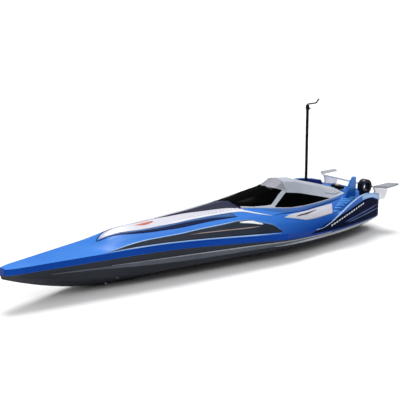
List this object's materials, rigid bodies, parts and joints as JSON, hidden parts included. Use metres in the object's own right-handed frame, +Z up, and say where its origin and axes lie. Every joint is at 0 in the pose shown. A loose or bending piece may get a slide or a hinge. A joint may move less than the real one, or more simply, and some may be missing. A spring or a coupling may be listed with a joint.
{
  "type": "rc boat",
  "caption": "Radio-controlled twin-screw toy speedboat with a lift-up canopy hatch, stern wing, whip antenna and a hollow hull.",
  "frame": {"origin": "middle of the boat's footprint, wing overhang included, on the plane of the flat keel pad", "axes": "+X towards the bow along the centreline, +Y to port, +Z up"},
  "size_m": [0.467, 0.1192, 0.1355],
  "materials": {
    "black_plastic": "fine texture",
    "black_rubber": "moulded",
    "board_green": "solder mask",
    "brass": "turned",
    "cell_wrap": "shrink wrap",
    "component_black": "moulded",
    "deck_blue": "high gloss lacquer",
    "fin_blue": "high gloss lacquer",
    "foam_black": "closed-cell foam",
    "grey_plastic": "moulded",
    "hull_charcoal": "satin moulded",
    "motor_can": "drawn can",
    "propeller_black": "moulded nylon",
    "screw_brass": "plated",
    "screw_steel": "zinc plated",
    "silver_plastic": "metallic lacquer",
    "steel": "ground",
    "strut_white": "gloss",
    "switch_red": "moulded",
    "tinted_window": "polished dark tint",
    "wing_silver": "satin metallic",
    "wire_black": "insulated wire"
  },
  "bodies": {
    "boat": {"antenna_cap": "black_rubber", "antenna_socket": "black_rubber", "antenna_tube": "black_plastic", "antenna_wire": "wire_black", "battery_cells": "cell_wrap", "battery_strap": "black_rubber", "battery_tray": "grey_plastic", "charge_socket": "black_plastic", "deck_shell": "deck_blue", "hatch_seal": "foam_black", "hull_screws": "screw_steel", "latch_screw": "screw_brass", "lower_hull": "hull_charcoal", "motor_bulkhead": "grey_plastic", "motor_port": "motor_can", "motor_screws": "screw_steel", "motor_starboard": "motor_can", "rear_wing": "wing_silver", "receiver_board": "board_green", "receiver_components": "component_black", "stern_fin": "fin_blue", "stern_ring": "black_plastic", "stern_tube_port": "brass", "stern_tube_starboard": "brass", "switch_body": "black_plastic", "switch_plate": "grey_plastic", "transom_plug": "black_rubber", "water_contacts": "brass", "wing_screws": "screw_steel", "wing_strut_port": "strut_white", "wing_strut_starboard": "strut_white"},
    "hatch": {"canopy_hatch": "silver_plastic", "windshield": "tinted_window", "side_window_port": "tinted_window", "side_window_starboard": "tinted_window"},
    "latch": {"hatch_latch": "black_plastic"},
    "switch": {"switch_slider": "switch_red"},
    "screw_port": {"propeller_port": "propeller_black", "propeller_nut_port": "brass", "propeller_shaft_port": "steel", "shaft_coupling_port": "black_rubber", "motor_rotor_port": "steel"},
    "screw_starboard": {"propeller_starboard": "propeller_black", "propeller_nut_starboard": "brass", "propeller_shaft_starboard": "steel", "shaft_coupling_starboard": "black_rubber", "motor_rotor_starboard": "steel"}
  },
  "joints": [
    {"name": "hatch_swing", "type": "hinge", "parent": "boat", "child": "hatch", "pos_m": [-0.0293, 0, 0.0519], "axis": [0, 1, 0], "range_deg": [0, 50]},
    {"name": "latch_turn", "type": "hinge", "parent": "boat", "child": "latch", "pos_m": [-0.1874, 0, 0.04], "axis": [0, 0, 1], "range_deg": [0, 90]},
    {"name": "switch_slide", "type": "slide", "parent": "boat", "child": "switch", "axis": [1, 0, 0], "range_m": [0, 0.003]},
    {"name": "screw_spin_port", "type": "hinge", "parent": "boat", "child": "screw_port", "pos_m": [-0.2, 0.024, 0.0096], "axis": [0.9962, 0, 0.0872], "continuous": true},
    {"name": "screw_spin_starboard", "type": "hinge", "parent": "boat", "child": "screw_starboard", "pos_m": [-0.2, -0.024, 0.0096], "axis": [0.9962, 0, 0.0872], "continuous": true}
  ]
}
